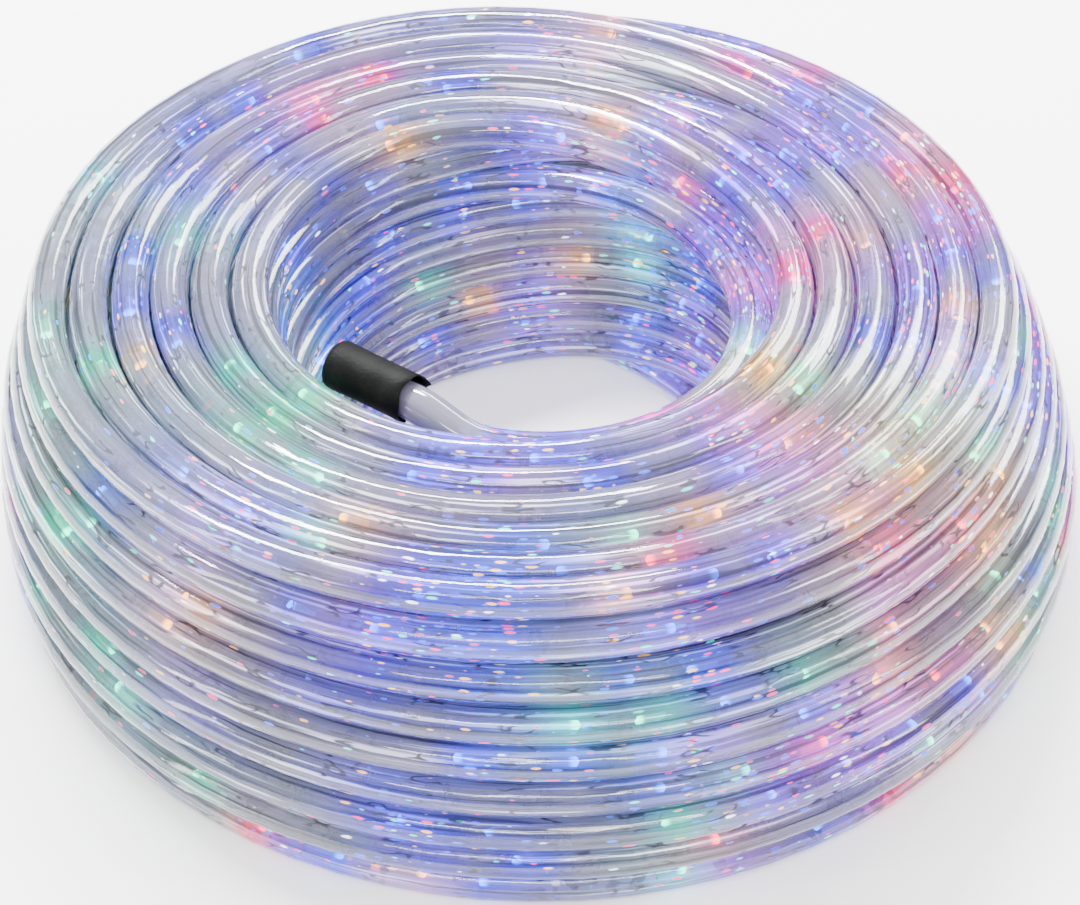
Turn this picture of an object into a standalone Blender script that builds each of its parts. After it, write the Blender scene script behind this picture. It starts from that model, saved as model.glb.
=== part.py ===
"""A loose coil of round LED rope light, lying on its side face, with a rubber cap on the free end.

Metres, +Z up, the origin on the floor under the middle of the coil. Run it with
blender --background --python part.py, or from Blender's text editor.

The coil is one turned solid. Its outline steps from turn to turn, so that every turn shows on the outer
wall, in the bore and on both ends. The last half turn climbs along the bore wall and ends in the cap.
"""

import math

import bmesh
import bpy
from mathutils import Vector
from mathutils.geometry import interpolate_bezier

# The rope
ROPE_DIAMETER = 0.013
ROPE_SIDES_RESOLUTION = 2

# The coil: radii are to the rope's surface
OUTER_RADIUS_TOP = 0.1625
OUTER_RADIUS_WIDEST = 0.187
OUTER_RADIUS_BOTTOM = 0.182
BORE_RADIUS_TOP = 0.086
BORE_RADIUS_BOTTOM = 0.070
COIL_HEIGHT = 0.113
WIDEST_HEIGHT = 0.026
TOP_TILT = 0.08
TOP_LEAN = -0.006
LAYERS = 9
TURNS_ON_TOP = 6
TURNS_BELOW = 8
COIL_STEPS = 40

# How a turn shows on the coil's outline, as shares of the rope's diameter
TURN_FLAT_SHARE = 0.55
TURN_GROOVE_SHARE = 0.2
BULGE_POWER = 1.6
CORNER_DOT = 0.5

# The tail: where it starts and leaves the bore wall, as angles round the bore from +X
TAIL_START_ANGLE = math.radians(24.0)
TAIL_BEND_ANGLE = math.radians(-98.0)
TAIL_START_BELOW_TOP = 0.025
TAIL_BEND_BELOW_TOP = 0.0095
TAIL_WALL_POINTS = 18
TAIL_BEND_POINTS = 6
WALL_GAP = 0.001

# The end cap: its closed end leans on the bore wall, and its mouth stands off it
CAP_TIP_ANGLE = math.radians(-144.0)
CAP_HEADING = math.radians(146.0)
CAP_BELOW_TOP = 0.001
CAP_WALL = 0.0016
CAP_LENGTH = 0.031
CAP_FLOOR = 0.003
CAP_CLEARANCE = 0.0004
CAP_EDGE_RADIUS = 0.0012
CAP_STEPS = 32

# How near two points are taken as one
MERGE_DISTANCE = 0.00002

# What follows from the sizes above
ROPE_RADIUS = ROPE_DIAMETER / 2
TURN_HALF_FLAT = ROPE_DIAMETER * TURN_FLAT_SHARE / 2
TURN_GROOVE = ROPE_DIAMETER * TURN_GROOVE_SHARE
CAP_BORE_RADIUS = ROPE_RADIUS + CAP_CLEARANCE
CAP_RADIUS = CAP_BORE_RADIUS + CAP_WALL
CAP_SOCKET = CAP_LENGTH - CAP_FLOOR - CAP_CLEARANCE


def clear_scene():
    for item in list(bpy.data.objects):
        bpy.data.objects.remove(item, do_unlink=True)


def make_collection(name):
    collection = bpy.data.collections.new(name)
    bpy.context.scene.collection.children.link(collection)
    return collection


def make_material(name, colour, roughness, transmission=0.0):
    material = bpy.data.materials.new(name)
    material.use_nodes = True
    shader = material.node_tree.nodes["Principled BSDF"]
    shader.inputs["Base Color"].default_value = (*colour, 1.0)
    shader.inputs["Roughness"].default_value = roughness
    shader.inputs["Metallic"].default_value = 0.0
    shader.inputs["Transmission Weight"].default_value = transmission
    return material


def blend(low, high, share):
    return low + (high - low) * share


def outer_radius(height):
    """The coil's outer radius at a height: widest near the floor, drawn in towards the top."""
    if height < WIDEST_HEIGHT:
        share = math.sin(math.pi / 2 * height / WIDEST_HEIGHT)
        return blend(OUTER_RADIUS_BOTTOM, OUTER_RADIUS_WIDEST, share)
    share = (height - WIDEST_HEIGHT) / (COIL_HEIGHT - WIDEST_HEIGHT)
    return blend(OUTER_RADIUS_WIDEST, OUTER_RADIUS_TOP, min(share, 1.0) ** BULGE_POWER)


def bore_radius(height):
    """The bore's radius at a height: it narrows towards the floor."""
    share = min(max(height / COIL_HEIGHT, 0.0), 1.0)
    return blend(BORE_RADIUS_BOTTOM, BORE_RADIUS_TOP, share)


def leant(point):
    """The coil leans a little: above its widest turn each turn lies further to the left."""
    share = max((point.z - WIDEST_HEIGHT) / (COIL_HEIGHT - WIDEST_HEIGHT), 0.0)
    return Vector((point.x + TOP_LEAN * share, point.y, point.z))


def lift(y):
    """How far the coil's top is tilted: it stands higher at the front, towards -Y, than at the back."""
    return 1.0 - TOP_TILT * y / COIL_HEIGHT


def tilted(point):
    return Vector((point.x, point.y, point.z * lift(point.y)))


def outline_turns():
    """The centres (radius, height) of the turns on the outline, from the top outer one down and round."""
    heights = [blend(COIL_HEIGHT - ROPE_RADIUS, ROPE_RADIUS, i / (LAYERS - 1)) for i in range(LAYERS)]
    outside = [(outer_radius(z) - ROPE_RADIUS, z) for z in heights]
    inside = [(bore_radius(z) + ROPE_RADIUS, z) for z in reversed(heights)]
    below = row(outside[-1], inside[0], TURNS_BELOW)
    above = row(inside[-1], outside[0], TURNS_ON_TOP)
    return [Vector(turn) for turn in outside + below + inside + above]


def row(start, end, count):
    """The turns strictly between two corner turns of a row of count turns."""
    shares = [i / (count - 1) for i in range(1, count - 1)]
    return [(blend(start[0], end[0], share), blend(start[1], end[1], share)) for share in shares]


def coil_outline():
    """The coil's section: a flat on each turn and a groove between each turn and the next."""
    turns = outline_turns()
    outline = []
    for i, turn in enumerate(turns):
        after = turns[(i + 1) % len(turns)]
        along_in = (turn - turns[i - 1]).normalized()
        along_out = (after - turn).normalized()
        out_in = Vector((-along_in.y, along_in.x))
        out_out = Vector((-along_out.y, along_out.x))
        outline.append(turn + out_in * ROPE_RADIUS - along_in * TURN_HALF_FLAT)
        if out_in.dot(out_out) < CORNER_DOT:
            outline.append(turn + (out_in + out_out).normalized() * ROPE_RADIUS)
        outline.append(turn + out_out * ROPE_RADIUS + along_out * TURN_HALF_FLAT)
        outline.append((turn + after) / 2 + out_out * (ROPE_RADIUS - TURN_GROOVE))
    return outline


def profile_mesh(name, points, closed):
    """A line of (radius, height) points in the XZ plane, for a Screw modifier to turn."""
    mesh = bpy.data.meshes.new(name)
    edges = [(i, i + 1) for i in range(len(points) - 1)]
    if closed:
        edges.append((len(points) - 1, 0))
    mesh.from_pydata([(radius, 0.0, height) for radius, height in points], edges, [])
    return mesh


def turned(name, points, closed, steps, material, collection):
    """Turns a profile about Z into a solid."""
    solid = bpy.data.objects.new(name, profile_mesh(name, points, closed))
    solid.data.materials.append(material)
    collection.objects.link(solid)
    screw = solid.modifiers.new("turn", "SCREW")
    screw.steps = steps
    screw.render_steps = steps
    screw.use_merge_vertices = True
    screw.merge_threshold = MERGE_DISTANCE
    screw.use_smooth_shade = True
    return solid


def applied(solid):
    """Replaces an object's mesh with its evaluated one and drops its modifiers."""
    graph = bpy.context.evaluated_depsgraph_get()
    mesh = bpy.data.meshes.new_from_object(solid.evaluated_get(graph))
    solid.modifiers.clear()
    solid.data = mesh
    return mesh


def build_coil(material, collection):
    coil = turned("rope_coil", coil_outline(), True, COIL_STEPS, material, collection)
    mesh = applied(coil)
    for vertex in mesh.vertices:
        vertex.co = tilted(leant(vertex.co))
    mesh.shade_smooth()
    return coil


def beside_wall(angle, radius, height):
    """A point at an angle round the bore, where a round thing of this radius lies against the bore wall."""
    wall = bore_radius(height / lift(BORE_RADIUS_TOP * math.sin(angle)))
    seat = wall - radius - WALL_GAP
    return leant(Vector((seat * math.cos(angle), seat * math.sin(angle), height)))


def cap_axis():
    """The middle of the cap's mouth and the direction from there to its closed end."""
    direction = Vector((math.cos(CAP_HEADING), math.sin(CAP_HEADING), 0.0))
    tip = beside_wall(CAP_TIP_ANGLE, CAP_RADIUS, COIL_HEIGHT - CAP_BELOW_TOP)
    return tip - direction * CAP_LENGTH, direction


def tail_on_wall(share):
    """The tail's centre line along the bore wall: it climbs evenly from its start to its bend."""
    angle = blend(TAIL_START_ANGLE, TAIL_BEND_ANGLE, share)
    height = COIL_HEIGHT - blend(TAIL_START_BELOW_TOP, TAIL_BEND_BELOW_TOP, share)
    return beside_wall(angle, ROPE_RADIUS, height)


def tail_route():
    """The tail's centre line: along the wall, then in one easy bend into the cap's mouth and its socket."""
    mouth, direction = cap_axis()
    route = [tail_on_wall(i / (TAIL_WALL_POINTS - 1)) for i in range(TAIL_WALL_POINTS)]
    leaving = (route[-1] - route[-2]).normalized()
    reach = (mouth - route[-1]).length / 3
    bend = interpolate_bezier(
        route[-1], route[-1] + leaving * reach, mouth - direction * reach, mouth, TAIL_BEND_POINTS
    )
    socket = [mouth + direction * (CAP_SOCKET * share) for share in (0.5, 1.0)]
    return route[:-1] + bend + socket, mouth, direction


def build_tail(route, material, collection):
    curve = bpy.data.curves.new("rope_tail", "CURVE")
    curve.dimensions = "3D"
    curve.bevel_depth = ROPE_RADIUS
    curve.bevel_resolution = ROPE_SIDES_RESOLUTION
    curve.use_fill_caps = True
    spline = curve.splines.new("POLY")
    spline.points.add(len(route) - 1)
    for slot, point in zip(spline.points, route):
        slot.co = (*point, 1.0)
    spline.use_smooth = True
    curve.materials.append(material)
    tail = bpy.data.objects.new("rope_tail", curve)
    collection.objects.link(tail)
    return tail


def cap_profile():
    """Half the cup's section, from the middle of its closed end, down its side, to the socket's floor."""
    edge = CAP_EDGE_RADIUS
    return [
        (0.0, CAP_LENGTH),
        (CAP_RADIUS - edge, CAP_LENGTH),
        (CAP_RADIUS - edge * (1 - math.sqrt(0.5)), CAP_LENGTH - edge * (1 - math.sqrt(0.5))),
        (CAP_RADIUS, CAP_LENGTH - edge),
        (CAP_RADIUS, 0.0),
        (CAP_BORE_RADIUS, 0.0),
        (CAP_BORE_RADIUS, CAP_LENGTH - CAP_FLOOR),
        (0.0, CAP_LENGTH - CAP_FLOOR),
    ]


def build_cap(mouth, direction, material, collection):
    cap = turned("end_cap", cap_profile(), False, CAP_STEPS, material, collection)
    cap.location = mouth
    cap.rotation_mode = "QUATERNION"
    cap.rotation_quaternion = direction.to_track_quat("Z", "Y")
    mesh = applied(cap)
    cleaned = bmesh.new()
    cleaned.from_mesh(mesh)
    bmesh.ops.remove_doubles(cleaned, verts=cleaned.verts, dist=MERGE_DISTANCE / 2)
    cleaned.to_mesh(mesh)
    cleaned.free()
    mesh.shade_smooth()
    mesh.set_sharp_from_angle(angle=math.radians(40.0))
    return cap


def main():
    clear_scene()
    collection = make_collection("led_rope_light")
    clear_pvc = make_material("clear_pvc", (0.80, 0.82, 0.92), 0.12, 0.85)
    black_rubber = make_material("black_rubber", (0.018, 0.02, 0.019), 0.55)
    build_coil(clear_pvc, collection)
    route, mouth, direction = tail_route()
    build_tail(route, clear_pvc, collection)
    build_cap(mouth, direction, black_rubber, collection)


main()
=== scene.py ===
"""The looks of a loose coil of clear LED rope light: one long rope, wound and laid flat.

The rope is one tube of clear soft PVC with lamps, their twisted leads and two feed wires sealed inside it.
It starts in a rubber cap in the bore, runs down the bore wall and is wound turn by turn from there.
"""

import math
import random

import bmesh
import bpy
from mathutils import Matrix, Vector, noise
from mathutils.geometry import interpolate_bezier
from mathutils.kdtree import KDTree


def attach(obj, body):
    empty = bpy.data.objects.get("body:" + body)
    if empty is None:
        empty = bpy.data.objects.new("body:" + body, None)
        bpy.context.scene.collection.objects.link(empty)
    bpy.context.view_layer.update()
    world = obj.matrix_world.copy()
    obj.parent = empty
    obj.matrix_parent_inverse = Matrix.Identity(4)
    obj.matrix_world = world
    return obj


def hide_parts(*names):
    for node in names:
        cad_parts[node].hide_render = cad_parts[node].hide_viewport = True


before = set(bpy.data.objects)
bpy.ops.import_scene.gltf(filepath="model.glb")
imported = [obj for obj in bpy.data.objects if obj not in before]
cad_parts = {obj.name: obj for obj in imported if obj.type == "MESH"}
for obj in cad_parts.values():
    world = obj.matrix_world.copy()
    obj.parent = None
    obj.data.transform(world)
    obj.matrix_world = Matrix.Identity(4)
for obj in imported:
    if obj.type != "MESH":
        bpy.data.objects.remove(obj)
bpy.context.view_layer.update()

# The rope and the coil, as in the part's source
ROPE_DIAMETER = 0.013
ROPE_RADIUS = ROPE_DIAMETER / 2
OUTER_RADIUS_TOP = 0.1625
OUTER_RADIUS_WIDEST = 0.187
OUTER_RADIUS_BOTTOM = 0.182
BORE_RADIUS_TOP = 0.086
BORE_RADIUS_BOTTOM = 0.070
COIL_HEIGHT = 0.113
WIDEST_HEIGHT = 0.026
TOP_TILT = 0.08
TOP_LEAN = -0.006
LEVELS = 9
BULGE_POWER = 1.6

# The tail and the cap on it, as in the part's source
TAIL_START_ANGLE = math.radians(24.0)
TAIL_BEND_ANGLE = math.radians(-98.0)
TAIL_START_BELOW_TOP = 0.025
TAIL_BEND_BELOW_TOP = 0.0095
TAIL_BEND_POINTS = 6
WALL_GAP = 0.001
CAP_TIP_ANGLE = math.radians(-144.0)
CAP_HEADING = math.radians(146.0)
CAP_BELOW_TOP = 0.001
CAP_LENGTH = 0.031
CAP_RADIUS = 0.0085
CAP_SOCKET = 0.0276
CAP_SOCKET_RADIUS = 0.0079
CAP_MOUTH_RADIUS = 0.0081
CAP_SAG = 0.0013
CAP_CORNER = 0.0026
CAP_CORNER_STEPS = 5
CAP_WAIST = 0.03
CAP_WALL_STEPS = 9
CAP_SIDES = 48
LIP_DEPTH = 0.003
LIP_SHARE = 0.6
SOCKET_DEPTH = 0.007
MOUTH_SOFT = 0.010
MOUTH_WAVE = 0.0005
MOUTH_WAVES = ((2, 0.8, 1.0), (5, 0.0, 0.6))
MOUTH_NARROW = 0.02
MOUTH_TAB = 0.0016
MOUTH_TAB_ANGLE = math.radians(8.0)
MOUTH_TAB_WIDTH = 0.16

# How the rope lies in the coil: each turn has a (column, level), and the rope hops from one to the next
TURNS_AT_LEVEL = (8, 7, 7, 7, 7, 7, 7, 6, 6)
LAST_TURNS = [(6, 1), (7, 0), (6, 0), (5, 1), (5, 0), (4, 0), (4, 1)]
STEP_ANGLE = math.radians(5.0)
HOP_START = math.radians(34.0)
HOP_ANGLE = math.radians(84.0)
END_BEFORE_HOP = math.radians(20)
WAVER = 0.0011
WAVER_ROUND = 1.3
WAVER_TURNS = 0.33
WAVER_SHIFT = (9.0, 4.0, 2.0)
TUBE_RADIUS = 0.0064
TUBE_SIDES = 16
SEED = 7

# How clear the rope is: it turns milky between these depths below the outer turns, and at its plain end
CLEAR_DEPTH = 0.004
MILKY_DEPTH = 0.011
PLAIN_END = 0.020
PLAIN_FADE = 0.008
PLAIN_COLOUR = (0.13, 0.125, 0.18)
PLAIN_CLEARNESS = 0.1
# Painted shade: the rope's colour is multiplied by this colour towards the crevices between the turns, and
# its glow is kept down to CREVICE_SHINE there
CREVICE_SHADE_COLOUR = (0.55, 0.56, 0.65)
OUTER_SKIN = 0.003
CREVICE_DEPTH = 0.0085
CREVICE_SHINE = 0.3

# Streaks along the rope: the dark ones are painted shade, the white ones painted highlights, and between them
# the PVC's own tint. The noise has a scale for its length in metres and two for its round.
LINE_SCALE = (7.8, 4.8, 4.8)
LINE_DETAIL = 1.0
PATCH_SCALE = (22.0, 2.2, 2.2)
PATCH_SHARE = 0.3
RIPPLE_GRAIN = (45.0, 2.85, 2.85)
RIPPLE_STRENGTH = 0.5
RIPPLE_HEIGHT = 0.0006
BODY_SHADE_AND_HIGHLIGHT_COLOURS = (
    (0.385, (0.07, 0.07, 0.085)),
    (0.43, (0.30, 0.305, 0.40)),
    (0.585, (0.40, 0.395, 0.53)),
    (0.64, (0.86, 0.86, 0.90)),
)
# The rope is less clear at both ends of the streak ramp, so that the painted shade and highlight streaks show
CLEARNESS = ((0.40, 0.40), (0.45, 0.76), (0.59, 0.76), (0.65, 0.25))
GLOW_FULL = 0.7
GLOW_TINT = 0.92
GLOW_LINES = (0.38, 0.63)
GLOW_POWER = (0.3, 1.4)
PVC_LOOKS = {"Roughness": 0.06, "IOR": 1.45, "Coat Weight": 0.6, "Coat Roughness": 0.03}

# The painted glints, small sparkles of the lamps' light painted on the rope, and the dark strands in the rope
PAINTED_GLINT_CELLS = (190.0, 29.0, 1.0)
PAINTED_GLINT_REACH = (0.12, 0.46)
PAINTED_GLINT_SOFT = 0.16
PAINTED_GLINT_SHARE = 0.02
PAINTED_GLINT_NEAR_LAMPS = 0.5
PAINTED_GLINT_COVER = 0.95
PAINTED_GLINT_POWER = 1.5
PAINTED_GLINT_HUES = (
    (0.0, (0.01, 0.10, 1.0)),
    (0.40, (0.0, 0.75, 0.48)),
    (0.56, (1.0, 0.01, 0.13)),
    (0.76, (1.0, 0.46, 0.03)),
    (0.95, (1.0, 1.0, 1.0)),
)
STRAND_GRAIN = (130.0, 3.4, 3.4)
STRAND_REACH = (0.16, 0.26)
STRAND_PATCHES = (0.53, 0.57)
STRAND_WIDTH = (0.045, 0.10)
STRAND_COLOUR = (0.02, 0.022, 0.028)
STRAND_COVER = 0.9
STRAND_SHINE = 0.2
MARKS_CLEARNESS = 0.1

# Lamps and wires inside the rope
LAMP_SPACING = 0.0278
FIRST_LAMP = 0.060
LAMP_RADIUS = 0.0008
LAMP_HEAD = 0.0011
LAMP_BODY = 0.0090
LAMP_SIDES = 8
HEAD_RINGS = 5
BODY_RINGS = 3
LEAD_RADIUS = 0.00070
LEAD_SIDES = 3
LEAD_SPIRAL = {
    "Resolution": 10,
    "Rotations": 1.7,
    "Start Radius": 0.0005,
    "End Radius": 0.0018,
    "Height": 0.010,
}
LEAD_CRINKLE = 0.0100
CRINKLE_SCALE = 210.0
WIRE_RADIUS = 0.00032
WIRE_SIDES = 4
WIRE_OFFSET = 0.0033
WIRE_TWIST_LENGTH = 1.3
WIRE_EVERY = 2
WIRE_LOOKS = {"Base Color": (0.012, 0.013, 0.012, 1), "Specular IOR Level": 0.3, "Roughness": 0.4}

# The lamps' colours: what they give the rope round them, and what their own heads have
LAMP_COLOURS = {
    "blue": (0.05, 0.045, 1.0),
    "green": (0.0, 0.75, 0.42),
    "red": (1.0, 0.02, 0.16),
    "amber": (1.0, 0.45, 0.06),
}
HEAD_COLOURS = {
    "blue": (0.0, 0.26, 1.0),
    "green": (0.0, 0.90, 0.42),
    "red": (1.0, 0.01, 0.06),
    "amber": (1.0, 0.44, 0.02),
}
LAMP_DIM = 0.7
LAMP_BRIGHT = 15.0
LAMP_HEAD_STARTS = 0.70
LAMP_HEAD_FULL = 0.98
LAMP_GREY = 0.55
LAMP_PALENESS = 0.5
LAMP_ROUGHNESS = 0.25
UNLIT_LOOKS = {
    "Base Color": (0.62, 0.63, 0.70, 1),
    "Transmission Weight": 0.85,
    "Roughness": 0.06,
    "IOR": 1.6,
}

# How far the lamps' glow reaches, and which of them are lit
GLOW_NEAR = 0.0062
GLOW_WIDE = 0.017
GLOW_WIDE_SHARE = 0.22
GLOW_REACH = 3 * GLOW_WIDE
GLOW_LEAST = 1e-4
LIT_SHARE = 0.48
LIT_SHARE_SIDE = 0.16
LIT_POWERS = (0.35, 1.0)

# The bands of colour round the coil, with their middles in degrees
LAMP_SHARES = {"blue": 1.2, "green": 0.6, "red": 0.42, "amber": 0.5}
LAMP_ZONES = {
    "blue": (-92, -62, -5, 32, 58, 95, 150, -120),
    "green": (-83, -28, 62, 170, -142),
    "red": (-72, -45, 8, 45),
    "amber": (-52, -18, 20, 87, -128),
}
ZONE_WIDTH = 14.0
ZONE_BASE = 0.35
ZONE_PULL = 2.6
ZONE_GLOW = {"blue": 0.60, "green": 0.13, "red": 0.20, "amber": 0.15}
ZONE_GLOW_SIDE = 0.5
ZONE_PATCHES = 30.0
ZONE_PATCH_BASE = 0.45
ZONE_PATCH_DEPTH = 3.2

# The rubber
RUBBER_COLOURS = ((0.42, (0.0012, 0.0013, 0.0015)), (0.72, (0.0050, 0.0062, 0.0050)))
RUBBER_LOOKS = {"Roughness": 0.6, "Specular IOR Level": 0.09}
SCUFF_SCALE = 130.0
SCUFF_DETAIL = 4.0
PIT_SCALE = 900.0
PIT_DETAIL = 2.0
PIT_STRENGTH = 0.35
PIT_DEPTH = 0.0004

# The stage: a pale floor that glows a little, a sky that is bright above, and soft lights
FLOOR_HALF = 6.0
FLOOR_DROP = 0.0002
FLOOR_LOOKS = {
    "Base Color": (0.93, 0.93, 0.94, 1),
    "Roughness": 0.8,
    "Emission Color": (1, 1, 1, 1),
    "Emission Strength": 0.65,
}
SKY_COLOURS = ((0.12, (0.07, 0.07, 0.08)), (0.62, (1, 1, 1)))
SKY_POWER = 2.0
LIGHT_TARGET = (0, 0, 0.05)
LIGHTS = (
    ("top_light", (-0.25, 0.5, 1.1), (0.9, 0.12), 74),
    ("left_light", (-1.2, -0.5, 0.7), (0.1, 0.9), 6),
    ("right_light", (1.1, -0.3, 0.9), (0.1, 0.8), 6),
    ("front_light", (0.0, -1.25, 1.35), (1.5, 0.12), 22),
    ("back_light", (0.7, 1.1, 1.0), (0.9, 0.3), 36),
)

# The photograph's view
CAMERA_ELEVATION = math.radians(44.0)
CAMERA_DISTANCE = 1.4
CAMERA_LENS = 135.3
CAMERA_CLIP = (0.05, 50)
VIEW_CENTRE_HEIGHT = 0.05
VIEW_DROP = 0.0158


def blend(low, high, share):
    return low + (high - low) * share


def eased(share):
    """From 0 to 1 with soft ends, and no further."""
    share = min(max(share, 0.0), 1.0)
    return share * share * (3 - 2 * share)


def outer_radius(height):
    """The coil's outer radius at a height, before it is tilted."""
    if height < WIDEST_HEIGHT:
        share = math.sin(math.pi / 2 * height / WIDEST_HEIGHT)
        return blend(OUTER_RADIUS_BOTTOM, OUTER_RADIUS_WIDEST, share)
    share = (height - WIDEST_HEIGHT) / (COIL_HEIGHT - WIDEST_HEIGHT)
    return blend(OUTER_RADIUS_WIDEST, OUTER_RADIUS_TOP, min(share, 1.0) ** BULGE_POWER)


def bore_radius(height):
    """The bore's radius at a height, before the coil is tilted."""
    share = min(max(height / COIL_HEIGHT, 0.0), 1.0)
    return blend(BORE_RADIUS_BOTTOM, BORE_RADIUS_TOP, share)


def lean(height):
    """How far the coil leans over at a height."""
    return TOP_LEAN * max((height - WIDEST_HEIGHT) / (COIL_HEIGHT - WIDEST_HEIGHT), 0.0)


def leant(point):
    """A point of the upright coil where the coil's lean puts it."""
    return Vector((point.x + lean(point.z), point.y, point.z))


def lift(y):
    """How many times its height the coil has at this depth: its top is tilted."""
    return 1.0 - TOP_TILT * y / COIL_HEIGHT


def beside_wall(angle, radius, height):
    """A point at an angle round the bore, where a round thing of this radius lies against the bore wall."""
    wall = bore_radius(height / lift(BORE_RADIUS_TOP * math.sin(angle)))
    seat = wall - radius - WALL_GAP
    return leant(Vector((seat * math.cos(angle), seat * math.sin(angle), height)))


def cap_axis():
    """The middle of the cap's mouth and the direction from there to its closed end."""
    direction = Vector((math.cos(CAP_HEADING), math.sin(CAP_HEADING), 0.0))
    tip = beside_wall(CAP_TIP_ANGLE, CAP_RADIUS, COIL_HEIGHT - CAP_BELOW_TOP)
    return tip - direction * CAP_LENGTH, direction


def tail_on_wall(angle):
    """The tail's centre line along the bore wall: it climbs evenly from its start to its bend."""
    share = max((angle - TAIL_START_ANGLE) / (TAIL_BEND_ANGLE - TAIL_START_ANGLE), 0.0)
    height = COIL_HEIGHT - blend(TAIL_START_BELOW_TOP, TAIL_BEND_BELOW_TOP, share)
    return beside_wall(angle, ROPE_RADIUS, height)


def winding():
    """Every turn in the order of winding: columns count from the bore and levels from the floor."""
    top = LEVELS - 1
    order = [(0, level) for level in range(top - 2, -1, -1)]
    order += [(1, level) for level in range(top)]
    order += [(0, top - 1), (0, top), (1, top)]
    order += [(2, level) for level in range(top, -1, -1)]
    order += [(3, level) for level in range(LEVELS)]
    outwards = True
    for level in range(top, 1, -1):
        columns = range(4, TURNS_AT_LEVEL[level])
        order += [(column, level) for column in (columns if outwards else reversed(columns))]
        outwards = not outwards
    return order + LAST_TURNS


def turn_seat(column, level):
    """The radius and height of a turn's centre line, before the coil leans."""
    height = blend(ROPE_RADIUS, COIL_HEIGHT - ROPE_RADIUS, level / (LEVELS - 1))
    inside = bore_radius(height) + ROPE_RADIUS
    outside = outer_radius(height) - ROPE_RADIUS
    return blend(inside, outside, column / (TURNS_AT_LEVEL[level] - 1)), height


def laid(angle, radius, height, turn):
    """A point of a turn in the coil, with the rope's slight waver and the coil's lean and tilt."""
    place = Vector((math.cos(angle) * WAVER_ROUND, math.sin(angle) * WAVER_ROUND, turn * WAVER_TURNS))
    radius += WAVER * noise.noise(place)
    height += WAVER * noise.noise(place + Vector(WAVER_SHIFT))
    point = leant(Vector((radius * math.cos(angle), radius * math.sin(angle), height)))
    point.z = max(point.z * lift(point.y), ROPE_RADIUS)
    return point


def rope_path():
    """The rope's centre line from the cap's socket to its inner end in the winding."""
    mouth, direction = cap_axis()
    mouth.z -= CAP_SAG
    path = [mouth + direction * (CAP_SOCKET * share) for share in (1.0, 0.5)]
    steps = round((TAIL_START_ANGLE - TAIL_BEND_ANGLE) / STEP_ANGLE)
    wall = [tail_on_wall(blend(TAIL_BEND_ANGLE, TAIL_START_ANGLE, i / steps)) for i in range(steps + 1)]
    leaving = (wall[0] - wall[1]).normalized()
    reach = (mouth - wall[0]).length / 3
    path += interpolate_bezier(
        mouth, mouth - direction * reach, wall[0] + leaving * reach, wall[0], TAIL_BEND_POINTS
    )
    path += wall[1:]
    seats = [turn_seat(column, level) for column, level in winding()]
    angle = TAIL_START_ANGLE + STEP_ANGLE
    end = HOP_START + 2 * math.pi * len(seats) - END_BEFORE_HOP
    while angle < end:
        turns_on = (angle - HOP_START) / (2 * math.pi)
        turn = max(int(turns_on), 0)
        share = eased((angle - HOP_START - 2 * math.pi * turn) / HOP_ANGLE)
        radius, height = seats[turn]
        if turn == 0:
            point = laid(angle, radius, height, 0).lerp(tail_on_wall(angle), 1 - share)
        else:
            before_radius, before_height = seats[turn - 1]
            radius = blend(before_radius, radius, share)
            height = blend(before_height, height, share)
            point = laid(angle, radius, height, turns_on)
        path.append(point)
        angle += STEP_ANGLE
    return path


def arc_lengths(path):
    lengths = [0.0]
    for i in range(1, len(path)):
        lengths.append(lengths[-1] + (path[i] - path[i - 1]).length)
    return lengths


def rope_frames(path):
    """The rope's direction and one steady sideways direction at each point."""
    ways = []
    for i in range(len(path)):
        ways.append((path[min(i + 1, len(path) - 1)] - path[max(i - 1, 0)]).normalized())
    side = ways[0].orthogonal().normalized()
    frames = []
    for way in ways:
        side = (side - way * side.dot(way)).normalized()
        frames.append((way, side))
    return frames


def link(name, mesh, material):
    """Makes an object of a mesh, with one material."""
    piece = bpy.data.objects.new(name, mesh)
    bpy.context.scene.collection.objects.link(piece)
    mesh.materials.clear()
    mesh.materials.append(material)
    return piece


def store(mesh, name, kind, values):
    """Keeps a flat list of values as an attribute of the mesh's points."""
    key = {"FLOAT": "value", "FLOAT_VECTOR": "vector", "FLOAT_COLOR": "color"}[kind]
    mesh.attributes.new(name, kind, "POINT").data.foreach_set(key, values)


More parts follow.
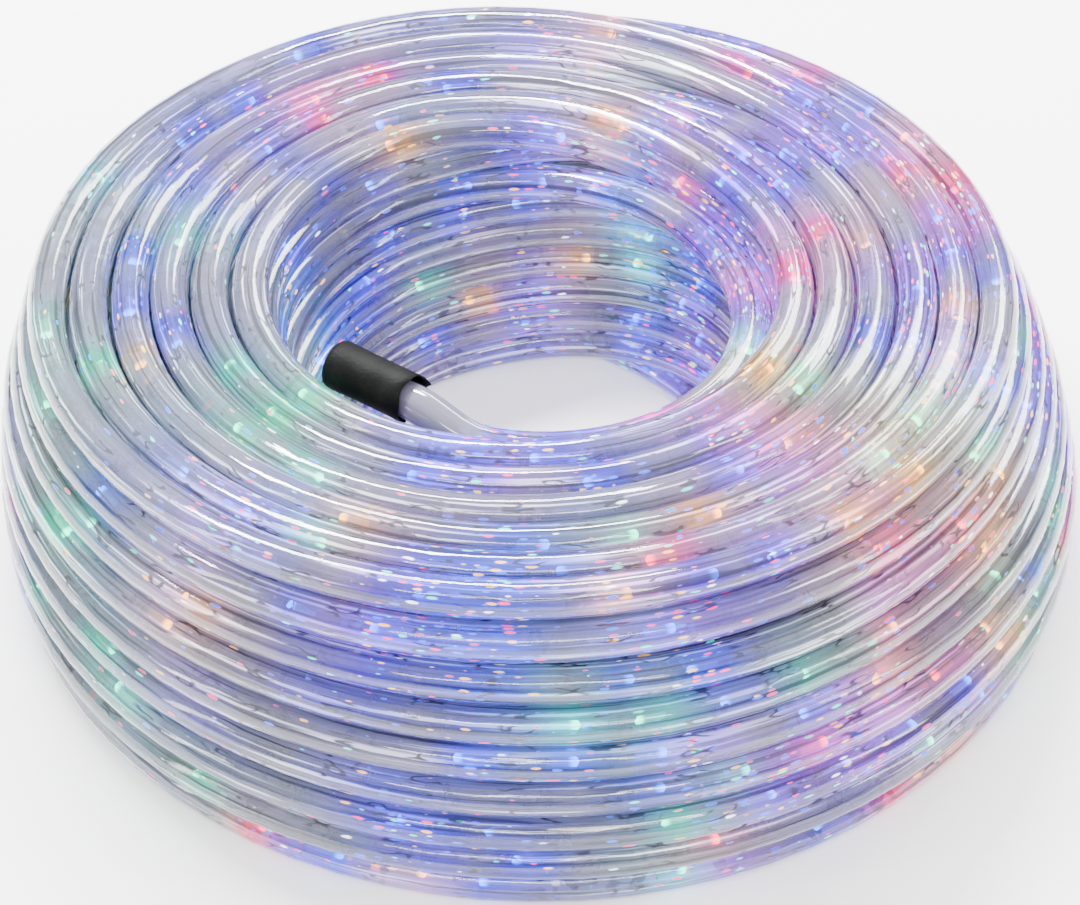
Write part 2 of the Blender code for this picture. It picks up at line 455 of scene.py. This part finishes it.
def tube_mesh(name, path, lengths, frames, radius, sides, offset=0.0, twist_length=1.0, phase=0.0, every=1):
    """A tube along the path, or slowly round it. Its skin values and its UV map hold its length and round."""
    mesh = bpy.data.meshes.new(name)
    picks = list(range(0, len(path) - 1, every)) + [len(path) - 1]
    vertices = []
    skin_values = []
    for i in picks:
        way, side = frames[i]
        up = way.cross(side)
        turn = phase + 2 * math.pi * lengths[i] / twist_length
        centre = path[i] + (side * math.cos(turn) + up * math.sin(turn)) * offset
        for k in range(sides):
            round_angle = 2 * math.pi * k / sides
            vertices.append(centre + (side * math.cos(round_angle) + up * math.sin(round_angle)) * radius)
            skin_values += [lengths[i], math.cos(round_angle), math.sin(round_angle)]
    faces = []
    along = []
    for i in range(len(picks) - 1):
        for k in range(sides):
            after = (k + 1) % sides
            faces.append((i * sides + k, i * sides + after, (i + 1) * sides + after, (i + 1) * sides + k))
            near, far = lengths[picks[i]], lengths[picks[i + 1]]
            along += [(near, k / sides), (near, (k + 1) / sides), (far, (k + 1) / sides), (far, k / sides)]
    last = (len(picks) - 1) * sides
    faces.append(tuple(reversed(range(sides))))
    faces.append(tuple(last + k for k in range(sides)))
    along += [(0.0, 0.0)] * sides + [(lengths[-1], 0.0)] * sides
    mesh.from_pydata(vertices, [], faces)
    store(mesh, "skin", "FLOAT_VECTOR", skin_values)
    uv = mesh.uv_layers.new(name="along")
    for slot, point in zip(uv.data, along):
        slot.uv = point
    mesh.shade_smooth()
    return mesh, picks


def zone_pulls(point):
    """How strongly each colour gathers in the band of the coil that a point lies in."""
    degrees = math.degrees(math.atan2(point.y, point.x))
    pulls = {}
    for name, zones in LAMP_ZONES.items():
        aways = [(degrees - zone + 180) % 360 - 180 for zone in zones]
        pulls[name] = sum(math.exp(-((away / ZONE_WIDTH) ** 2)) for away in aways)
    return pulls


def lamp_colour_names(path, places):
    """A colour for each lamp: some colours gather in bands round the coil."""
    draw = random.Random(SEED)
    names = []
    for _, _, i in places:
        pulls = zone_pulls(path[i])
        weights = [LAMP_SHARES[name] * (ZONE_BASE + ZONE_PULL * pulls[name]) for name in LAMP_ZONES]
        names.append(draw.choices(list(LAMP_ZONES), weights)[0])
    return names


def lamp_powers(places):
    """How bright each lamp is: 0 where it is unlit, which is rarer at the right."""
    draw = random.Random(SEED + 2)
    powers = []
    for place, _, _ in places:
        share = LIT_SHARE + LIT_SHARE_SIDE * place.x / OUTER_RADIUS_WIDEST
        powers.append(draw.uniform(*LIT_POWERS) if draw.random() < share else 0.0)
    return powers


def at_length(path, lengths, frames, wanted):
    """Points of the path at the wanted lengths, each with the rope's direction and the path's index there."""
    found = []
    i = 0
    for length in wanted:
        while lengths[i + 1] < length:
            i += 1
        share = (length - lengths[i]) / (lengths[i + 1] - lengths[i])
        way = frames[i][0].lerp(frames[i + 1][0], share).normalized()
        found.append((path[i].lerp(path[i + 1], share), way, i))
    return found


def node_group(name):
    group = bpy.data.node_groups.new(name, "GeometryNodeTree")
    group.interface.new_socket("Geometry", in_out="INPUT", socket_type="NodeSocketGeometry")
    group.interface.new_socket("Geometry", in_out="OUTPUT", socket_type="NodeSocketGeometry")
    return group


def number_input(group, name, value):
    socket = group.interface.new_socket(name, in_out="INPUT", socket_type="NodeSocketFloat")
    socket.default_value = value


def set_inputs(node, values):
    for name, value in values.items():
        node.inputs[name].default_value = value


def add_node(group, kind, **settings):
    node = group.nodes.new(kind)
    for key, value in settings.items():
        setattr(node, key, value)
    return node


def stations_mesh(name, places, draw, turned=False):
    """Loose points that carry the direction and a random spin of what is set on them."""
    spins = [draw.uniform(0, 2 * math.pi) for _ in places]
    ways = [way * draw.choice((-1, 1)) if turned else way for _, way, _ in places]
    mesh = bpy.data.meshes.new(name)
    mesh.from_pydata([point for point, _, _ in places], [], [])
    store(mesh, "way", "FLOAT_VECTOR", [number for way in ways for number in way])
    store(mesh, "spin", "FLOAT", spins)
    return mesh


def set_on_points(group, source, instance, material, crinkle=0.0):
    """Instances a shape on every point along its direction, realizes it and gives it its material."""
    link_nodes = group.links.new
    way = add_node(group, "GeometryNodeInputNamedAttribute", data_type="FLOAT_VECTOR")
    set_inputs(way, {"Name": "way"})
    spin = add_node(group, "GeometryNodeInputNamedAttribute", data_type="FLOAT")
    set_inputs(spin, {"Name": "spin"})
    turn = add_node(group, "FunctionNodeAxisAngleToRotation")
    set_inputs(turn, {"Axis": (0, 0, 1)})
    link_nodes(spin.outputs["Attribute"], turn.inputs["Angle"])
    align = add_node(group, "FunctionNodeAlignRotationToVector", axis="Z")
    link_nodes(turn.outputs["Rotation"], align.inputs["Rotation"])
    link_nodes(way.outputs["Attribute"], align.inputs["Vector"])
    on_points = add_node(group, "GeometryNodeInstanceOnPoints")
    link_nodes(source, on_points.inputs["Points"])
    link_nodes(instance, on_points.inputs["Instance"])
    link_nodes(align.outputs["Rotation"], on_points.inputs["Rotation"])
    realize = add_node(group, "GeometryNodeRealizeInstances")
    link_nodes(on_points.outputs["Instances"], realize.inputs["Geometry"])
    shape = realize.outputs["Geometry"]
    if crinkle:
        waves = add_node(group, "ShaderNodeTexNoise")
        set_inputs(waves, {"Scale": CRINKLE_SCALE, "Detail": 0.0})
        centred = add_node(group, "ShaderNodeVectorMath", operation="SUBTRACT")
        centred.inputs[1].default_value = (0.5, 0.5, 0.5)
        link_nodes(waves.outputs["Color"], centred.inputs[0])
        sized = add_node(group, "ShaderNodeVectorMath", operation="SCALE")
        set_inputs(sized, {"Scale": crinkle})
        link_nodes(centred.outputs[0], sized.inputs[0])
        bend = add_node(group, "GeometryNodeSetPosition")
        link_nodes(shape, bend.inputs["Geometry"])
        link_nodes(sized.outputs[0], bend.inputs["Offset"])
        shape = bend.outputs["Geometry"]
    paint = add_node(group, "GeometryNodeSetMaterial")
    set_inputs(paint, {"Material": material})
    link_nodes(shape, paint.inputs["Geometry"])
    out = add_node(group, "NodeGroupOutput")
    link_nodes(paint.outputs["Geometry"], out.inputs["Geometry"])


def lamp_tree(name, material):
    """A lamp: a round bright head on a short milky body, with its brightness along it as an attribute."""
    group = node_group(name)
    number_input(group, "Lamp radius", LAMP_RADIUS)
    number_input(group, "Head radius", LAMP_HEAD)
    number_input(group, "Body length", LAMP_BODY)
    entry = add_node(group, "NodeGroupInput")
    link_nodes = group.links.new
    head = add_node(group, "GeometryNodeMeshUVSphere")
    set_inputs(head, {"Segments": LAMP_SIDES, "Rings": HEAD_RINGS})
    link_nodes(entry.outputs["Head radius"], head.inputs["Radius"])
    body = add_node(group, "GeometryNodeMeshCone", fill_type="NGON")
    set_inputs(body, {"Vertices": LAMP_SIDES, "Side Segments": BODY_RINGS})
    link_nodes(entry.outputs["Lamp radius"], body.inputs["Radius Bottom"])
    link_nodes(entry.outputs["Head radius"], body.inputs["Radius Top"])
    link_nodes(entry.outputs["Body length"], body.inputs["Depth"])
    half = add_node(group, "ShaderNodeMath", operation="MULTIPLY")
    half.inputs[1].default_value = 0.5
    link_nodes(entry.outputs["Body length"], half.inputs[0])
    low = add_node(group, "ShaderNodeMath", operation="MULTIPLY")
    low.inputs[1].default_value = -1.0
    link_nodes(half.outputs[0], low.inputs[0])

    def moved(shape, height):
        place = add_node(group, "ShaderNodeCombineXYZ")
        link_nodes(height.outputs[0], place.inputs["Z"])
        move = add_node(group, "GeometryNodeTransform")
        link_nodes(shape.outputs["Mesh"], move.inputs["Geometry"])
        link_nodes(place.outputs[0], move.inputs["Translation"])
        return move.outputs["Geometry"]

    join = add_node(group, "GeometryNodeJoinGeometry")
    link_nodes(moved(head, half), join.inputs["Geometry"])
    link_nodes(moved(body, low), join.inputs["Geometry"])
    parts = add_node(group, "ShaderNodeSeparateXYZ")
    link_nodes(add_node(group, "GeometryNodeInputPosition").outputs["Position"], parts.inputs[0])
    along = add_node(group, "ShaderNodeMapRange")
    link_nodes(parts.outputs["Z"], along.inputs["Value"])
    link_nodes(low.outputs[0], along.inputs["From Min"])
    link_nodes(half.outputs[0], along.inputs["From Max"])
    mark = add_node(group, "GeometryNodeStoreNamedAttribute", data_type="FLOAT", domain="POINT")
    set_inputs(mark, {"Name": "head"})
    link_nodes(along.outputs["Result"], mark.inputs["Value"])
    link_nodes(join.outputs["Geometry"], mark.inputs["Geometry"])
    smooth = add_node(group, "GeometryNodeSetShadeSmooth")
    link_nodes(mark.outputs["Geometry"], smooth.inputs["Geometry"])
    set_on_points(group, entry.outputs["Geometry"], smooth.outputs["Geometry"], material)
    return group


def lead_tree(name, material):
    """A lamp's lead: a short piece of thin wire that is twisted into loose coils."""
    group = node_group(name)
    number_input(group, "Wire radius", LEAD_RADIUS)
    entry = add_node(group, "NodeGroupInput")
    spiral = add_node(group, "GeometryNodeCurveSpiral")
    set_inputs(spiral, LEAD_SPIRAL)
    section = add_node(group, "GeometryNodeCurvePrimitiveCircle")
    set_inputs(section, {"Resolution": LEAD_SIDES})
    group.links.new(entry.outputs["Wire radius"], section.inputs["Radius"])
    tube = add_node(group, "GeometryNodeCurveToMesh")
    group.links.new(spiral.outputs["Curve"], tube.inputs["Curve"])
    group.links.new(section.outputs["Curve"], tube.inputs["Profile Curve"])
    set_inputs(tube, {"Fill Caps": True})
    set_on_points(group, entry.outputs["Geometry"], tube.outputs["Mesh"], material, LEAD_CRINKLE)
    return group


def grown(name, mesh, tree, material):
    """Runs a tree on a mesh of points and keeps the result as a plain mesh."""
    piece = link(name, mesh, material)
    modifier = piece.modifiers.new("grow", "NODES")
    modifier.node_group = tree
    for socket in tree.interface.items_tree:
        if socket.in_out == "INPUT" and socket.socket_type == "NodeSocketFloat":
            modifier[socket.identifier] = socket.default_value
    graph = bpy.context.evaluated_depsgraph_get()
    made = bpy.data.meshes.new_from_object(piece.evaluated_get(graph))
    piece.modifiers.clear()
    piece.data = made
    return piece


def new_material(name):
    material = bpy.data.materials.new(name)
    material.use_nodes = True
    return material, material.node_tree, material.node_tree.nodes["Principled BSDF"]


def attribute(tree, name, output="Fac"):
    """What one of the mesh's attributes holds, or its UV map."""
    node = tree.nodes.new("ShaderNodeAttribute")
    node.attribute_name = name
    return node.outputs[output]


def noise_texture(tree, vector, scale, detail):
    node = tree.nodes.new("ShaderNodeTexNoise")
    set_inputs(node, {"Scale": scale, "Detail": detail})
    tree.links.new(vector, node.inputs["Vector"])
    return node.outputs["Fac"]


def ranged(tree, value, low, high, to_low, to_high, kind="LINEAR"):
    """Maps low..high onto to_low..to_high, and no further."""
    node = tree.nodes.new("ShaderNodeMapRange")
    node.interpolation_type = kind
    set_inputs(node, {"From Min": low, "From Max": high, "To Min": to_low, "To Max": to_high})
    tree.links.new(value, node.inputs["Value"])
    return node.outputs["Result"]


def bumped(tree, shader, height, strength, distance):
    """Gives the shader fine relief."""
    node = tree.nodes.new("ShaderNodeBump")
    set_inputs(node, {"Strength": strength, "Distance": distance})
    tree.links.new(height, node.inputs["Height"])
    tree.links.new(node.outputs["Normal"], shader.inputs["Normal"])


def mixed(tree, share, first, second, blend_type="MIX"):
    """Mixes two colours, each a plain colour or a socket, by a share that is read from a socket."""
    node = tree.nodes.new("ShaderNodeMix")
    node.data_type = "RGBA"
    node.blend_type = blend_type
    tree.links.new(share, node.inputs["Factor"])
    for key, value in (("A", first), ("B", second)):
        if isinstance(value, tuple):
            node.inputs[key].default_value = (*value, 1)
        else:
            tree.links.new(value, node.inputs[key])
    return node.outputs["Result"]


def colour_ramp(tree, value, stops, kind="LINEAR"):
    """A ramp through the stops, which are (position, colour) in rising order, with two of them at least."""
    node = tree.nodes.new("ShaderNodeValToRGB")
    node.color_ramp.interpolation = kind
    elements = node.color_ramp.elements
    for i, (position, colour) in enumerate(stops):
        element = elements[i] if i < 2 else elements.new(position)
        element.position = position
        element.color = (*colour, 1)
    tree.links.new(value, node.inputs["Fac"])
    return node.outputs["Color"]


def pvc_material():
    """Clear soft PVC with painted shade and highlight streaks along it, dark strands at the leads, painted
    glints and the lamps' glow.
    """
    material, tree, shader = new_material("clear_pvc")
    links = tree.links.new

    def stretched(vector, scale):
        stretch = tree.nodes.new("ShaderNodeMapping")
        set_inputs(stretch, {"Scale": scale})
        links(vector, stretch.inputs["Vector"])
        return stretch.outputs["Vector"]

    def noise_on_skin(scale, detail=0.0):
        return noise_texture(tree, stretched(skin, scale), 1.0, detail)

    def math_node(operation, *values):
        node = tree.nodes.new("ShaderNodeMath")
        node.operation = operation
        for socket, value in zip(node.inputs, values):
            if isinstance(value, (int, float)):
                socket.default_value = value
            else:
                links(value, socket)
        return node.outputs[0]

    def faded(value, left_at_one):
        return ranged(tree, value, 0.0, 1.0, 1.0, left_at_one)

    def near_middle(value, core, edge):
        away = math_node("ABSOLUTE", math_node("SUBTRACT", value, 0.5))
        return ranged(tree, away, core, edge, 1.0, 0.0)

    skin = attribute(tree, "skin", "Vector")
    glow = attribute(tree, "glow", "Color")
    strength = attribute(tree, "glow", "Alpha")
    clear = attribute(tree, "clear")
    plain = attribute(tree, "plain")
    outer = attribute(tree, "outer")

    # The streaks of painted shade and painted highlight, and how the glow and the painted shade in the
    # crevices colour them
    patches = noise_on_skin(PATCH_SCALE)
    drawn = math_node("MULTIPLY", noise_on_skin(LINE_SCALE, LINE_DETAIL), 1 - PATCH_SHARE)
    shade_and_highlight_lines = math_node("ADD", drawn, math_node("MULTIPLY", patches, PATCH_SHARE))
    # Painted shade: the colour darkens towards the crevices between the turns, by how far in the skin lies
    body = mixed(tree, faded(outer, 0.0), colour_ramp(tree, shade_and_highlight_lines, BODY_SHADE_AND_HIGHLIGHT_COLOURS), CREVICE_SHADE_COLOUR, "MULTIPLY")
    tint = math_node("MULTIPLY", ranged(tree, strength, 0.0, GLOW_FULL, 0.0, GLOW_TINT), outer)
    body = mixed(tree, tint, body, glow, "MULTIPLY")

    # The painted glints: small ovals of painted light in colours of their own, most of them where the lamps
    # glow
    cells = tree.nodes.new("ShaderNodeTexVoronoi")
    cells.voronoi_dimensions = "2D"
    set_inputs(cells, {"Scale": 1.0})
    links(stretched(attribute(tree, "along", "Vector"), PAINTED_GLINT_CELLS), cells.inputs["Vector"])
    chance = tree.nodes.new("ShaderNodeSeparateColor")
    links(cells.outputs["Color"], chance.inputs["Color"])
    reach = ranged(tree, chance.outputs["Blue"], 0.0, 1.0, *PAINTED_GLINT_REACH)
    inside = math_node("SUBTRACT", reach, cells.outputs["Distance"])
    spot = ranged(tree, inside, 0.0, PAINTED_GLINT_SOFT, 0.0, 1.0)
    near_lamps = math_node("MULTIPLY", math_node("MULTIPLY", strength, strength), PAINTED_GLINT_NEAR_LAMPS)
    wanted = math_node("GREATER_THAN", math_node("ADD", near_lamps, PAINTED_GLINT_SHARE), chance.outputs["Red"])
    painted_glint = math_node("MULTIPLY", spot, wanted)
    hue = mixed(tree, painted_glint, glow, colour_ramp(tree, chance.outputs["Green"], PAINTED_GLINT_HUES, "CONSTANT"))
    body = mixed(tree, math_node("MULTIPLY", painted_glint, PAINTED_GLINT_COVER), body, hue)

    # The dark strands: thin wavy lines that show in some places by the leads
    parts = tree.nodes.new("ShaderNodeSeparateXYZ")
    links(skin, parts.inputs[0])
    pitch = math_node("MULTIPLY", parts.outputs["X"], 1 / LAMP_SPACING)
    phase = math_node("FRACT", math_node("ADD", pitch, 1 - FIRST_LAMP / LAMP_SPACING % 1))
    in_patch = ranged(tree, patches, *STRAND_PATCHES, 0.0, 1.0)
    by_lead = math_node("MULTIPLY", near_middle(phase, *STRAND_REACH), in_patch)
    strand = math_node("MULTIPLY", near_middle(noise_on_skin(STRAND_GRAIN), *STRAND_WIDTH), by_lead)
    body = mixed(tree, math_node("MULTIPLY", strand, STRAND_COVER), body, STRAND_COLOUR)
    links(mixed(tree, plain, body, PLAIN_COLOUR), shader.inputs["Base Color"])

    # How clear the rope is, and how it shines with the lamps' glow and the painted glints, dimmed as painted
    # shade in the crevices between the turns
    window = colour_ramp(tree, shade_and_highlight_lines, [(position, (share,) * 3) for position, share in CLEARNESS])
    seen = math_node("MULTIPLY", math_node("MULTIPLY", clear, outer), window)
    seen = math_node("MULTIPLY", seen, faded(math_node("MAXIMUM", strand, painted_glint), MARKS_CLEARNESS))
    seen = math_node("MULTIPLY", seen, faded(plain, PLAIN_CLEARNESS))
    links(seen, shader.inputs["Transmission Weight"])
    shine = math_node("MULTIPLY", strength, ranged(tree, shade_and_highlight_lines, *GLOW_LINES, *GLOW_POWER))
    # Painted glints: the sparkles add light of their own to the rope's glow
    shine = math_node("ADD", shine, math_node("MULTIPLY", painted_glint, PAINTED_GLINT_POWER))
    shine = math_node("MULTIPLY", shine, faded(strand, STRAND_SHINE))
    shine = math_node("MULTIPLY", shine, faded(plain, 0.0))
    # Painted shade: the glow is dimmed in the crevices between the turns
    shine = math_node("MULTIPLY", shine, ranged(tree, outer, 0.0, 1.0, CREVICE_SHINE, 1.0))
    links(shine, shader.inputs["Emission Strength"])
    links(hue, shader.inputs["Emission Color"])
    set_inputs(shader, PVC_LOOKS)
    bumped(tree, shader, noise_on_skin(RIPPLE_GRAIN), RIPPLE_STRENGTH, RIPPLE_HEIGHT)
    material.cycles.emission_sampling = "NONE"
    return material


def lamp_material(name, colour):
    """A lit lamp, milky with a bright head, or a clear unlit one where there is no colour."""
    material, tree, shader = new_material("lamp_" + name)
    if colour is None:
        set_inputs(shader, UNLIT_LOOKS)
        return material
    along = attribute(tree, "head")
    power = ranged(tree, along, LAMP_HEAD_STARTS, LAMP_HEAD_FULL, LAMP_DIM, LAMP_BRIGHT, "SMOOTHSTEP")
    head = ranged(tree, along, LAMP_HEAD_STARTS, LAMP_HEAD_FULL, 0.0, 1.0, "SMOOTHSTEP")
    milky = tuple(blend(part, LAMP_GREY, LAMP_PALENESS) for part in colour)
    tree.links.new(power, shader.inputs["Emission Strength"])
    tree.links.new(mixed(tree, head, milky, colour), shader.inputs["Base Color"])
    set_inputs(shader, {"Emission Color": (*colour, 1), "Roughness": LAMP_ROUGHNESS})
    material.cycles.emission_sampling = "NONE"
    return material


def wire_material():
    """Dark tinned wire."""
    material, _, shader = new_material("wire")
    set_inputs(shader, WIRE_LOOKS)
    return material


def rubber_material():
    """Soft black rubber, a little greenish where it is scuffed, with fine pits."""
    material, tree, shader = new_material("black_rubber")
    place = tree.nodes.new("ShaderNodeTexCoord").outputs["Object"]
    scuffs = noise_texture(tree, place, SCUFF_SCALE, SCUFF_DETAIL)
    tree.links.new(colour_ramp(tree, scuffs, RUBBER_COLOURS), shader.inputs["Base Color"])
    bumped(tree, shader, noise_texture(tree, place, PIT_SCALE, PIT_DETAIL), PIT_STRENGTH, PIT_DEPTH)
    set_inputs(shader, RUBBER_LOOKS)
    return material


def cap_profile():
    """The cap's section as (distance from the mouth, radius), from its closed end into its socket."""
    corner = CAP_LENGTH - CAP_CORNER
    section = []
    for i in range(CAP_CORNER_STEPS + 1):
        turn = math.pi / 2 * i / CAP_CORNER_STEPS
        section.append((corner + CAP_CORNER * math.cos(turn), CAP_RADIUS - CAP_CORNER * (1 - math.sin(turn))))
    for i in range(1, CAP_WALL_STEPS + 1):
        narrow = 1 - CAP_WAIST * math.sin(math.pi * i / CAP_WALL_STEPS)
        section.append((corner * (1 - i / CAP_WALL_STEPS), CAP_RADIUS * narrow))
    lip = (CAP_RADIUS - CAP_MOUTH_RADIUS) / 2
    section += [(-lip / 2, CAP_RADIUS - lip), (0.0, CAP_MOUTH_RADIUS)]
    section.append((LIP_DEPTH, blend(CAP_MOUTH_RADIUS, CAP_SOCKET_RADIUS, LIP_SHARE)))
    section += [(SOCKET_DEPTH, CAP_SOCKET_RADIUS), (CAP_SOCKET, CAP_SOCKET_RADIUS)]
    return section


def cap_mesh():
    """The rubber cap: a cup with a rounded closed end, a soft waist and a wavy mouth with a small tab."""
    mouth, direction = cap_axis()
    up = Vector((0.0, 0.0, 1.0))
    side = direction.cross(up)
    shape = bmesh.new()
    rings = []
    for along, radius in cap_profile():
        ring = []
        soft = max(1 - along / MOUTH_SOFT, 0.0)
        for k in range(CAP_SIDES):
            turn = 2 * math.pi * k / CAP_SIDES
            off_tab = (turn - MOUTH_TAB_ANGLE + math.pi) % (2 * math.pi) - math.pi
            tab = math.exp(-((off_tab / MOUTH_TAB_WIDTH) ** 2))
            wave = sum(share * math.sin(count * turn + phase) for count, phase, share in MOUTH_WAVES)
            shift = along - soft * (MOUTH_WAVE * wave + MOUTH_TAB * tab)
            wide = radius * (1 - MOUTH_NARROW * soft * (1 + math.sin(3 * turn)))
            outwards = side * math.cos(turn) + up * math.sin(turn)
            ring.append(shape.verts.new(mouth + direction * shift + outwards * wide))
        rings.append(ring)
    for near, far in zip(rings, rings[1:]):
        for k in range(CAP_SIDES):
            after = (k + 1) % CAP_SIDES
            shape.faces.new((near[k], near[after], far[after], far[k]))
    for ring in (rings[0], rings[-1]):
        shape.faces.new(ring)
    bmesh.ops.recalc_face_normals(shape, faces=shape.faces)
    mesh = bpy.data.meshes.new("rubber_cap")
    shape.to_mesh(mesh)
    shape.free()
    mesh.shade_smooth()
    return mesh


def light_the_rope(mesh, path, picks, sides, lamps):
    """Stores each stretch's glow, its strength as alpha, from the lamps near it and the coil's bands."""
    tree = KDTree(len(lamps))
    for i, (place, _, _) in enumerate(lamps):
        tree.insert(place, i)
    tree.balance()
    flat = []
    for i in picks:
        total = Vector((0.0, 0.0, 0.0))
        for _, j, away in tree.find_range(path[i], GLOW_REACH):
            _, name, power = lamps[j]
            near = math.exp(-((away / GLOW_NEAR) ** 2))
            near += GLOW_WIDE_SHARE * math.exp(-((away / GLOW_WIDE) ** 2))
            total += Vector(LAMP_COLOURS[name]) * (near * power)
        patchy = max(ZONE_PATCH_BASE + ZONE_PATCH_DEPTH * noise.noise(path[i] * ZONE_PATCHES), 0.0)
        patchy *= 1 + ZONE_GLOW_SIDE * path[i].x / OUTER_RADIUS_WIDEST
        for name, pull in zone_pulls(path[i]).items():
            total += Vector(LAMP_COLOURS[name]) * (ZONE_GLOW[name] * pull * patchy)
        peak = max(total)
        colour = total / peak if peak > GLOW_LEAST else Vector((1, 1, 1))
        flat += [*colour, min(peak, 1.0)] * sides
    store(mesh, "glow", "FLOAT_COLOR", flat)


def depth_in_coil(point):
    """How far a point lies inside the coil's outline."""
    height = point.z / lift(point.y)
    radius = math.hypot(point.x - lean(height), point.y)
    walls = (radius - bore_radius(height), outer_radius(height) - radius, height, COIL_HEIGHT - height)
    return min(walls)


def mark_clear(mesh, path, picks, sides, lengths):
    """Stores how clear each turn is, where the rope's plain end is, and how far out its skin lies, which sets
    the painted shade in the crevices between the turns.
    """
    clear = []
    plain = []
    for i in picks:
        depth = depth_in_coil(path[i]) - ROPE_RADIUS
        clear += [1 - eased((depth - CLEAR_DEPTH) / (MILKY_DEPTH - CLEAR_DEPTH))] * sides
        plain += [1 - eased((lengths[i] - CAP_SOCKET - PLAIN_END) / PLAIN_FADE)] * sides
    depths = [depth_in_coil(vertex.co) for vertex in mesh.vertices]
    outer = [1 - eased((depth - OUTER_SKIN) / (CREVICE_DEPTH - OUTER_SKIN)) for depth in depths]
    store(mesh, "clear", "FLOAT", clear)
    store(mesh, "plain", "FLOAT", plain)
    store(mesh, "outer", "FLOAT", outer)


def build_camera():
    """The photograph's camera."""
    camera = bpy.data.cameras.new("camera")
    camera.lens = CAMERA_LENS
    camera.clip_start, camera.clip_end = CAMERA_CLIP
    piece = bpy.data.objects.new("camera", camera)
    bpy.context.scene.collection.objects.link(piece)
    back = Vector((0.0, -math.cos(CAMERA_ELEVATION), math.sin(CAMERA_ELEVATION)))
    up = Vector((0.0, math.sin(CAMERA_ELEVATION), math.cos(CAMERA_ELEVATION)))
    target = Vector((0.0, 0.0, VIEW_CENTRE_HEIGHT)) - up * VIEW_DROP
    piece.location = target + back * CAMERA_DISTANCE
    piece.rotation_euler = (-back).to_track_quat("-Z", "Y").to_euler()
    bpy.context.scene.camera = piece


def softbox(name, place, size, power):
    """A soft light that faces the coil."""
    light = bpy.data.lights.new(name, "AREA")
    light.shape = "RECTANGLE"
    light.size, light.size_y = size
    light.energy = power
    piece = bpy.data.objects.new(name, light)
    bpy.context.scene.collection.objects.link(piece)
    piece.location = place
    piece.rotation_euler = (Vector(LIGHT_TARGET) - Vector(place)).to_track_quat("-Z", "Y").to_euler()


def build_floor():
    """A pale floor that glows a little, so that it looks almost white."""
    mesh = bpy.data.meshes.new("floor")
    corners = [(x * FLOOR_HALF, y * FLOOR_HALF, 0) for x, y in ((-1, -1), (1, -1), (1, 1), (-1, 1))]
    mesh.from_pydata(corners, [], [(0, 1, 2, 3)])
    material, _, shader = new_material("pale_floor")
    set_inputs(shader, FLOOR_LOOKS)
    material.cycles.emission_sampling = "NONE"
    floor = link("floor", mesh, material)
    floor.location.z = -FLOOR_DROP


def build_sky():
    """A soft sky, bright above and dark near the floor."""
    world = bpy.data.worlds.new("studio")
    world.use_nodes = True
    tree = world.node_tree
    parts = tree.nodes.new("ShaderNodeSeparateXYZ")
    tree.links.new(tree.nodes.new("ShaderNodeTexCoord").outputs["Generated"], parts.inputs[0])
    background = tree.nodes["Background"]
    tree.links.new(colour_ramp(tree, parts.outputs["Z"], SKY_COLOURS), background.inputs["Color"])
    set_inputs(background, {"Strength": SKY_POWER})
    bpy.context.scene.world = world


def build_lamps(places, names, powers, draw):
    """The lamps: one piece for each colour, and one for the unlit lamps."""
    for name, colour in [*HEAD_COLOURS.items(), ("unlit", None)]:
        material = lamp_material(name, colour)
        chosen = [places[i] for i in range(len(places)) if (names[i] if powers[i] else "unlit") == name]
        points = stations_mesh("lamps", chosen, draw, turned=True)
        piece = grown("lamps_" + name, points, lamp_tree("lamp_" + name, material), material)
        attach(piece, "root")


def build_wires(path, lengths, frames, lamps, draw):
    """The leads, half-way between the lamps, and the two feed wires along the whole rope."""
    wire = wire_material()
    between = at_length(path, lengths, frames, [length + 0.5 * LAMP_SPACING for length in lamps])
    points = stations_mesh("leads", between, draw)
    pieces = [grown("lamp_leads", points, lead_tree("leads", wire), wire)]
    shape = (WIRE_RADIUS, WIRE_SIDES, WIRE_OFFSET, WIRE_TWIST_LENGTH)
    for k in range(2):
        mesh, _ = tube_mesh("feed_wire", path, lengths, frames, *shape, math.pi * k, WIRE_EVERY)
        pieces.append(link(f"feed_wire_{k + 1}", mesh, wire))
    for piece in pieces:
        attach(piece, "root")


def main():
    build_camera()
    build_floor()
    build_sky()
    for light in LIGHTS:
        softbox(*light)
    path = rope_path()
    lengths = arc_lengths(path)
    frames = rope_frames(path)
    mesh, picks = tube_mesh("rope", path, lengths, frames, TUBE_RADIUS, TUBE_SIDES)
    lamp_count = int((lengths[-1] - 2 * FIRST_LAMP) / LAMP_SPACING)
    lamps = [FIRST_LAMP + i * LAMP_SPACING for i in range(lamp_count)]
    places = at_length(path, lengths, frames, lamps)
    names = lamp_colour_names(path, places)
    powers = lamp_powers(places)
    lit = [(places[i][0], names[i], powers[i]) for i in range(lamp_count) if powers[i]]
    light_the_rope(mesh, path, picks, TUBE_SIDES, lit)
    mark_clear(mesh, path, picks, TUBE_SIDES, lengths)
    rope = link("rope", mesh, pvc_material())
    draw = random.Random(SEED + 1)
    build_lamps(places, names, powers, draw)
    build_wires(path, lengths, frames, lamps, draw)
    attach(rope, "root")
    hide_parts("rope_coil", "rope_tail")
    cap = link("rubber_cap", cap_mesh(), rubber_material())
    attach(cap, "root")
    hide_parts("end_cap")


main()
